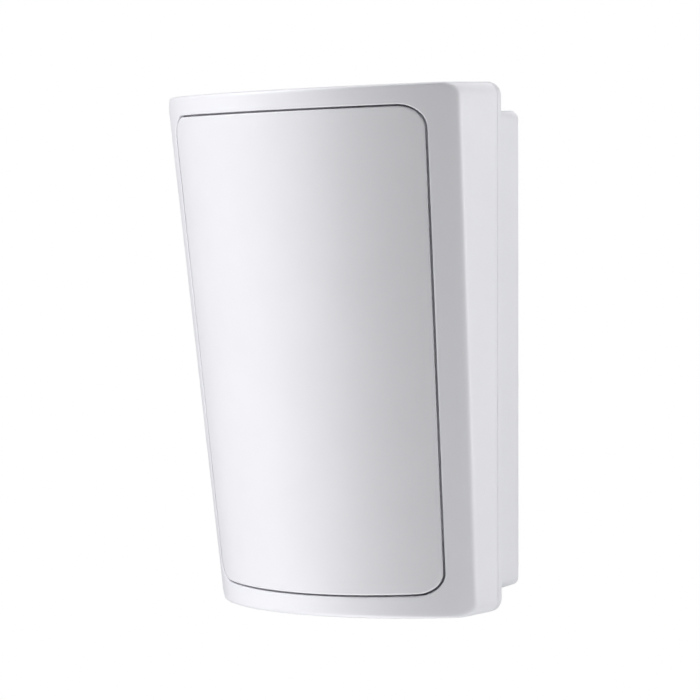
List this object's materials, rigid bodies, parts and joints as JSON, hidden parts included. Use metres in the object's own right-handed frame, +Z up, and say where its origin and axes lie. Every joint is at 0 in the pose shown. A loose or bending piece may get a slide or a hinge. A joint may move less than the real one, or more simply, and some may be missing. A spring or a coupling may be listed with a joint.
{
  "type": "wall-mounted motion sensor",
  "caption": "White wall-mounted motion sensor: tapering curved housing with a flush full-face lens window, hinged front cover and fitted circuit board.",
  "frame": {"origin": "middle of the flat back face, where it meets the wall", "axes": "+Z up along the housing's height, +Y out of the back into the wall, the curved front faces -Y"},
  "size_m": [0.0812, 0.0427, 0.12],
  "materials": {
    "shell_plastic": "satin, fine mould texture",
    "lens_plastic": "satin, smooth outside, grooved inside",
    "screw_steel": "zinc plated",
    "board_laminate": "solder mask",
    "can_steel": "nickel plated",
    "filter_silicon": "polished, dark",
    "dark_plastic": "matt",
    "terminal_plastic": "matt",
    "clamp_brass": "bright",
    "control_plastic": "satin",
    "relay_plastic": "satin",
    "tinned_metal": "tinned",
    "sleeve_plastic": "heat-shrunk sleeve",
    "control_body": "satin",
    "led_plastic": "tinted, clear",
    "clear_acrylic": "clear"
  },
  "bodies": {
    "base": {"base_shell": "shell_plastic", "circuit_board": "board_laminate", "board_screws": "screw_steel", "sensor_can": "can_steel", "sensor_filter": "filter_silicon", "sensor_header": "can_steel", "sensor_shroud": "dark_plastic", "terminal_body": "terminal_plastic", "terminal_screws": "screw_steel", "terminal_clamps": "clamp_brass", "tamper_case": "dark_plastic", "alarm_relay": "relay_plastic", "controller_chip": "dark_plastic", "chip_legs": "tinned_metal", "capacitors": "sleeve_plastic", "option_switch_body": "control_body", "range_trimmer_body": "control_body", "walk_test_led": "led_plastic", "led_leads": "tinned_metal", "light_pipe": "clear_acrylic", "surface_parts": "dark_plastic"},
    "cover": {"front_cover": "shell_plastic", "lens_window": "lens_plastic", "lens_retainer": "shell_plastic"},
    "cover_screw": {"cover_screw": "screw_steel"},
    "tamper_plunger": {"tamper_plunger": "control_plastic"},
    "range_trimmer_rotor": {"range_trimmer_rotor": "control_plastic"},
    "option_slider_1": {"option_slider_1": "control_plastic"},
    "option_slider_2": {"option_slider_2": "control_plastic"},
    "option_slider_3": {"option_slider_3": "control_plastic"},
    "option_slider_4": {"option_slider_4": "control_plastic"}
  },
  "joints": [
    {"name": "cover_hinge", "type": "hinge", "parent": "base", "child": "cover", "pos_m": [0, -0.0093, 0.06], "axis": [-1, 0, 0], "range_deg": [0, 55]},
    {"name": "tamper_travel", "type": "slide", "parent": "base", "child": "tamper_plunger", "axis": [0, -1, 0], "range_m": [0, 0.0018]},
    {"name": "cover_screw_turn", "type": "hinge", "parent": "base", "child": "cover_screw", "pos_m": [0, -0.0145, -0.055], "axis": [0, 0, -1], "continuous": true},
    {"name": "range_turn", "type": "hinge", "parent": "base", "child": "range_trimmer_rotor", "pos_m": [0.018, -0.0125, 0.02], "axis": [0, -1, 0], "range_deg": [-135, 135]},
    {"name": "option_1_travel", "type": "slide", "parent": "base", "child": "option_slider_1", "axis": [0, 0, 1], "range_m": [0, 0.0022]},
    {"name": "option_2_travel", "type": "slide", "parent": "base", "child": "option_slider_2", "axis": [0, 0, 1], "range_m": [0, 0.0022]},
    {"name": "option_3_travel", "type": "slide", "parent": "base", "child": "option_slider_3", "axis": [0, 0, 1], "range_m": [0, 0.0022]},
    {"name": "option_4_travel", "type": "slide", "parent": "base", "child": "option_slider_4", "axis": [0, 0, 1], "range_m": [0, 0.0022]}
  ],
  "couplings": [
    {"joint": "tamper_travel", "follows": "cover_hinge", "m_per_rad": 0.001875}
  ]
}
